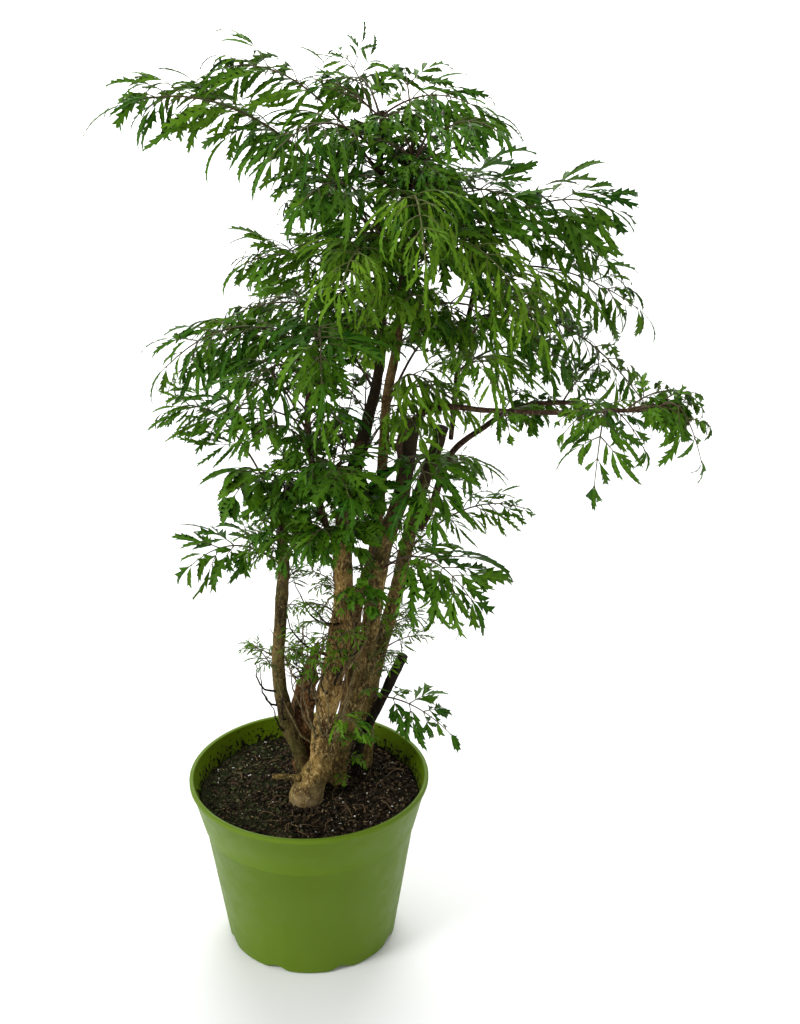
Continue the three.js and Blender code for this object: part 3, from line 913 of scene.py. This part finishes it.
# name: cane, how many, from which to which share of the cane, length and radius in millimetres, how
# fast it turns down, material and slot.
STRANDS = {
    "burl_twigs": ("burl_stump", 16, 0.62, 0.98, 16, 0.5, -0.05, BLACK, "bark"),
    "left_trunk_twigs": ("left_trunk", 5, 0.3, 0.45, 40, 0.7, -0.35, BLACK, "bark"),
    "front_aerial_roots": ("front_trunk", 26, 0.4, 0.52, 38, 0.45, 0.55, STEM, "bark"),
    "right_aerial_roots": ("right_trunk", 14, 0.5, 0.85, 30, 0.4, 0.45, STEM, "bark"),
    "front_twigs": ("front_trunk", 8, 0.36, 0.5, 46, 0.8, -0.3, BLACK, "bark"),
    "front_stems": ("front_trunk", 16, 0.28, 0.42, 66, 0.75, -0.55, TWIG, "bark"),
    "left_petioles": ("left_shoot", 9, 0.2, 0.6, 76, 0.6, -0.45, YOUNG_WOOD, "green_wood"),
}
STRAND_SEED = 31
for number, (name, (cane, count, *growth, material, slot)) in enumerate(STRANDS.items()):
    rng = random.Random(STRAND_SEED + number)
    build = Builder()
    for _ in range(count):
        add_strand(build, rng, cane_rings[cane], *growth)
    strands = build.piece(name, [material])


# ---- pot ---------------------------------------------------------------------------------------------
_, pot_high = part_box("pot")
RIM_RADIUS = pot_high.x
POT_HEIGHT = pot_high.z
BAND_FOOT = POT_HEIGHT - 31 * MM
BAND_RADIUS = 67.8 * MM
BAND_STEP = 0.6 * MM
BASE_RADIUS = 54.4 * MM
FOOT_ROUND = 2.5 * MM
WALL = 1.8 * MM
LIP = 3 * MM
LIP_STEP = 0.5 * MM
LIP_ROUND = 0.9 * MM
INNER_FLOOR = 2.4 * MM
INNER_CORNER = 5 * MM
# The radius at which an outline starts and ends, small enough for the hole not to show.
PINHOLE = 0.01 * MM


def around_axis(radius, angle, z):
    """A point at a distance from the pot's axis."""
    return Vector((radius * math.cos(angle), radius * math.sin(angle), z))


def arc(centre_r, centre_z, radius, start, end, steps):
    """Points on a round corner of the pot's outline, between two angles in degrees."""
    angles = [math.radians(start + (end - start) * k / steps) for k in range(steps + 1)]
    return [(centre_r + radius * math.cos(a), centre_z + radius * math.sin(a)) for a in angles]


# The drain notches: how wide and high they are, how far in they start to rise and where they are full,
# both from the foot's edge, and the height below which they shape the pot.
DRAIN_COUNT = 8
DRAIN_HALF_ANGLE = math.radians(9)
DRAIN_RISE = 2.8 * MM
DRAIN_START = 9 * MM
DRAIN_FULL = 2 * MM
DRAIN_BELOW = 3 * MM


def drain_rise(angle, radius, height):
    """How far the foot's edge is arched up over the shallow drain notches around it."""
    pitch = 2 * math.pi / DRAIN_COUNT
    off = abs((angle / pitch) % 1 - 0.5) * pitch
    arch = 1 - smoothstep(0, DRAIN_HALF_ANGLE, off)
    near_edge = smoothstep(BASE_RADIUS - DRAIN_START, BASE_RADIUS - DRAIN_FULL, radius)
    return DRAIN_RISE * arch * near_edge * (height < DRAIN_BELOW)


def turned(name, outline, segments, slots, materials):
    """An outline of (radius, height) points turned about Z, with a material slot for each span."""
    build = Builder()
    for (r, z), (r2, z2), slot in zip(outline, outline[1:], slots):
        ring = []
        for radius, height in ((r, z), (r2, z2)):
            for s in range(segments):
                angle = 2 * math.pi * s / segments
                rise = drain_rise(angle, radius, height)
                ring.append(around_axis(radius, angle, height + rise))
        build.add(ring, ring_faces(2, segments), slot)
    obj = build.piece(name, materials)
    weld = obj.modifiers.new("weld", "WELD")
    weld.merge_threshold = 0.005 * MM
    return obj


outer = [
    (PINHOLE, 0),
    (30 * MM, 0),
    (BASE_RADIUS - DRAIN_START, 0),
    (BASE_RADIUS - 2 * FOOT_ROUND, 0),
    *arc(BASE_RADIUS - FOOT_ROUND, FOOT_ROUND, FOOT_ROUND, -90, 0, 5),
    (BAND_RADIUS - 1.0 * MM, BAND_FOOT - 0.9 * MM),
    *arc(BAND_RADIUS - BAND_STEP, BAND_FOOT, BAND_STEP, -60, 0, 3),
    (RIM_RADIUS - 1.1 * MM, POT_HEIGHT - LIP - 0.2 * MM),
    *arc(RIM_RADIUS - LIP_STEP, POT_HEIGHT - LIP + 0.4 * MM, LIP_STEP, -60, 0, 3),
    *arc(RIM_RADIUS - LIP_ROUND, POT_HEIGHT - LIP_ROUND, LIP_ROUND, 0, 90, 5),
]
inner = [
    *arc(RIM_RADIUS - 1.9 * MM, POT_HEIGHT - LIP_ROUND, LIP_ROUND, 90, 180, 5),
    (RIM_RADIUS - WALL - 0.95 * MM, POT_HEIGHT - LIP),
    (BAND_RADIUS - WALL - BAND_STEP, BAND_FOOT),
    (BASE_RADIUS - WALL, INNER_CORNER),
    (BASE_RADIUS - WALL - FOOT_ROUND, INNER_FLOOR),
    (PINHOLE, INNER_FLOOR),
]
outline = [*outer, *inner]
# The inside's own material starts four spans down the round of the lip.
inside_from = len(outer) + 4
span_slots = [0 if i < inside_from else 1 for i in range(len(outline) - 1)]
pot = turned("nursery_pot", outline, 160, span_slots, [pot_material(), inner_pot_material()])
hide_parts("pot")


# ---- soil --------------------------------------------------------------------------------------------
_, soil_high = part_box("potting_soil")
DOME = 4 * MM
SOIL_EDGE = soil_high.z - DOME
# Lumps to a metre, and their height in millimetres.
SOIL_LUMPS = ((45, 1.8), (170, 1.2), (430, 1.1))


def wall_radius(z):
    """The inside radius of the pot at a height."""
    if z < BAND_FOOT:
        share = (z - INNER_CORNER) / (BAND_FOOT - INNER_CORNER)
        return BASE_RADIUS - WALL + share * (BAND_RADIUS - BASE_RADIUS - BAND_STEP)
    foot = BAND_RADIUS - WALL - BAND_STEP
    share = (z - BAND_FOOT) / (POT_HEIGHT - BAND_FOOT)
    return foot + share * (RIM_RADIUS - WALL - LIP_ROUND - foot)


def soil_height(x, y):
    """The height of the soil's lumpy, slightly domed surface."""
    share = min(math.hypot(x, y) / wall_radius(SOIL_EDGE), 1)
    spot = Vector((x, y, 0))
    lumps = sum(noise.noise(spot * scale) * height for scale, height in SOIL_LUMPS)
    return SOIL_EDGE + DOME * math.cos(share * math.pi / 2) + lumps * MM


def build_soil():
    """The whole soil: its surface in rings from the middle out, its side and its underside."""
    build = Builder()
    segments, rings = 220, 74
    angles = [2 * math.pi * s / segments for s in range(segments)]
    edge = wall_radius(SOIL_EDGE) - 0.3 * MM
    points = [Vector((0, 0, soil_height(0, 0)))]
    for i in range(1, rings + 1):
        for angle in angles:
            x, y = edge * i / rings * math.cos(angle), edge * i / rings * math.sin(angle)
            points.append(Vector((x, y, soil_height(x, y))))
    # The height of each ring below the surface, and how far it keeps off the wall.
    below = ((BAND_FOOT, 0.4 * MM), (5.4 * MM, 0.4 * MM), (2.8 * MM, 3 * MM))
    for z, gap in below:
        radius = wall_radius(max(z, INNER_CORNER)) - gap
        points += [around_axis(radius, angle, z) for angle in angles]
    faces = [[0, 1 + s, 1 + (s + 1) % segments] for s in range(segments)]
    last_ring = rings + len(below) - 1
    for i in range(last_ring):
        for s in range(segments):
            a, b = 1 + i * segments + s, 1 + i * segments + (s + 1) % segments
            faces.append([a, a + segments, b + segments, b])
    faces.append([1 + last_ring * segments + s for s in range(segments - 1, -1, -1)])
    build.add(points, faces)
    return build.piece("soil_bed", [soil_material()])


soil = build_soil()
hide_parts("potting_soil")

LONG = 1.6
SIGNS = ((1, 1), (-1, 1), (1, -1), (-1, -1))
PEBBLE = [
    *(Vector((0, LONG * a, b)).normalized() for a, b in SIGNS),
    *(Vector((a, 0, LONG * b)).normalized() for a, b in SIGNS),
    *(Vector((LONG * a, b, 0)).normalized() for a, b in SIGNS),
]
# An angle of any size, in radians.
ANY_TURN = 6.3


def pebble_faces():
    """The twenty faces of an icosahedron, wound outward: every three corners that are neighbours."""
    neighbours = 1.2
    corners = len(PEBBLE)
    faces = []
    for a in range(corners):
        for b in range(a + 1, corners):
            for c in range(b + 1, corners):
                p, q, r = PEBBLE[a], PEBBLE[b], PEBBLE[c]
                if max((p - q).length, (q - r).length, (p - r).length) < neighbours:
                    faces.append([a, b, c] if (q - p).cross(r - p).dot(p) > 0 else [a, c, b])
    return faces


PEBBLE_FACES = pebble_faces()


def scatter_grains(name, count, smallest, largest, material, seed, flat=0.7):
    """Small rough grains that lie on the soil, mossy ones mostly on its left."""
    rng = random.Random(seed)
    build = Builder()
    edge = wall_radius(SOIL_EDGE) - 1.5 * MM
    while count:
        x, y = rng.uniform(-edge, edge), rng.uniform(-edge, edge)
        size = smallest + (largest - smallest) * rng.random() ** 2
        if math.hypot(x, y) > edge - size:
            continue
        count -= 1
        middle = Vector((x, y, soil_height(x, y) + size * 0.15))
        turned_by = rng.uniform(0, ANY_TURN)
        axis = Vector((rng.random(), rng.random(), 1)).normalized()
        turn = Matrix.Rotation(turned_by, 3, axis)
        stretch = Vector((rng.uniform(0.6, 1.5), rng.uniform(0.6, 1.1), rng.uniform(0.7, 1.1) * flat))
        points = []
        for p in PEBBLE:
            q = p * rng.uniform(0.7, 1.2) * size / 2
            points.append(middle + turn @ Vector((q.x * stretch.x, q.y * stretch.y, q.z * stretch.z)))
        mossy = 0.55 * smoothstep(0.03, -0.05, x)
        moss = rng.uniform(0, 0.9) if rng.random() < mossy else 0.0
        build.add(points, PEBBLE_FACES, 0, (rng.random(), 0.5, moss))
    grains = build.piece(name, [material])


def scatter_fibres(name, count, material, seed):
    """Coir fibres and rootlets that lie curled on the soil."""
    rng = random.Random(seed)
    build = Builder()
    edge = wall_radius(SOIL_EDGE) - 16 * MM
    for _ in range(count):
        angle, out = rng.uniform(0, ANY_TURN), edge * math.sqrt(rng.random())
        x, y = out * math.cos(angle), out * math.sin(angle)
        heading = rng.uniform(0, ANY_TURN)
        step = rng.uniform(1.2, 3.2) * MM
        steps = 5
        points = []
        for k in range(steps + 1):
            lift = (0.5 + 1.2 * math.sin(math.pi * k / steps)) * MM
            points.append(Vector((x, y, soil_height(x, y) + lift)))
            x, y = x + step * math.cos(heading), y + step * math.sin(heading)
            heading += rng.uniform(-0.5, 0.5)
        thick = rng.uniform(0.18, 0.5) * MM
        add_tube(build, points, [thick * (1 - 0.1 * k) for k in range(steps + 1)], 5)
    fibres = build.piece(name, [material])


perlite = grain_material("perlite", (0.3, 0.29, 0.25), (0.75, 0.74, 0.68), 600, 0.9)
crumbs = grain_material("soil_crumbs", (0.004, 0.003, 0.002), (0.06, 0.043, 0.026), 500, 0.95)
chips = grain_material("bark_chips", (0.02, 0.013, 0.007), (0.24, 0.17, 0.09), 500, 0.9)
coir = grain_material("coir", (0.05, 0.03, 0.015), (0.2, 0.13, 0.07), 300, 0.85)
scatter_grains("perlite_grains", 170, 0.6 * MM, 2.0 * MM, perlite, 1)
scatter_grains("soil_crumb_grains", 3600, 0.9 * MM, 3.4 * MM, crumbs, 2)
scatter_grains("bark_chip_grains", 700, 0.9 * MM, 3.2 * MM, chips, 3, 0.45)
scatter_fibres("coir_fibres", 60, coir, 4)


# ---- floor, light and camera -------------------------------------------------------------------------
FLOOR_SIZE = 16


def build_floor():
    mesh = bpy.data.meshes.new("floor")
    half = FLOOR_SIZE / 2
    corners = [(-half, -half, 0), (half, -half, 0), (half, half, 0), (-half, half, 0)]
    mesh.from_pydata(corners, [], [[0, 1, 2, 3]])
    s = Shader("studio_floor", roughness=0.7)
    s.colour(s.mix(s.noise(3, 2), (0.93, 0.93, 0.93), (0.95, 0.95, 0.95)))
    mesh.materials.append(s.material)
    floor = bpy.data.objects.new("floor", mesh)
    bpy.context.scene.collection.objects.link(floor)


def add_area_light(name, place, aim, size, power):
    data = bpy.data.lights.new(name, "AREA")
    data.shape = "DISK"
    data.size = size
    data.energy = power
    lamp = bpy.data.objects.new(name, data)
    lamp.location = place
    lamp.rotation_euler = (Vector(aim) - Vector(place)).to_track_quat("-Z", "Y").to_euler()
    bpy.context.scene.collection.objects.link(lamp)


build_floor()
# name: where it stands, what it points at, its width in metres and its power in watts. The last one
# brightens the floor behind the plant.
LIGHTS = {
    "key_light": ((-1.4, -1.1, 1.5), (0, 0, 0.3), 0.8, 26),
    "fill_light": ((1.6, -1.0, 1.1), (0, 0, 0.3), 1.2, 4),
    "side_light": ((-1.9, -0.5, 0.35), (0, 0, 0.2), 0.9, 8),
    "top_light": ((0.2, 0.5, 2.2), (0, 0, 0.3), 1.2, 18),
    "floor_light": ((0, 4.2, 2.6), (0, 4.4, 0), 4.5, 260),
}
for name, light in LIGHTS.items():
    add_area_light(name, *light)
world = bpy.data.worlds.new("studio")
world.use_nodes = True
world.node_tree.nodes["Background"].inputs["Color"].default_value = (1, 1, 1, 1)
world.node_tree.nodes["Background"].inputs["Strength"].default_value = 0.5
bpy.context.scene.world = world
bpy.context.scene.view_settings.view_transform = "Standard"

# The camera that fits the outline of the pot in the photo: a little right of it, looking down.
CAMERA_PLACE = (0.0578, -1.0, 0.745)
CAMERA_DOWN = 24.1
CAMERA_LENS = 64.6
camera_data = bpy.data.cameras.new("camera")
camera_data.sensor_width = 36
camera_data.lens = CAMERA_LENS
camera = bpy.data.objects.new("camera", camera_data)
camera.location = CAMERA_PLACE
camera.rotation_euler = (math.radians(90 - CAMERA_DOWN), 0, 0)
bpy.context.scene.collection.objects.link(camera)
bpy.context.scene.camera = camera
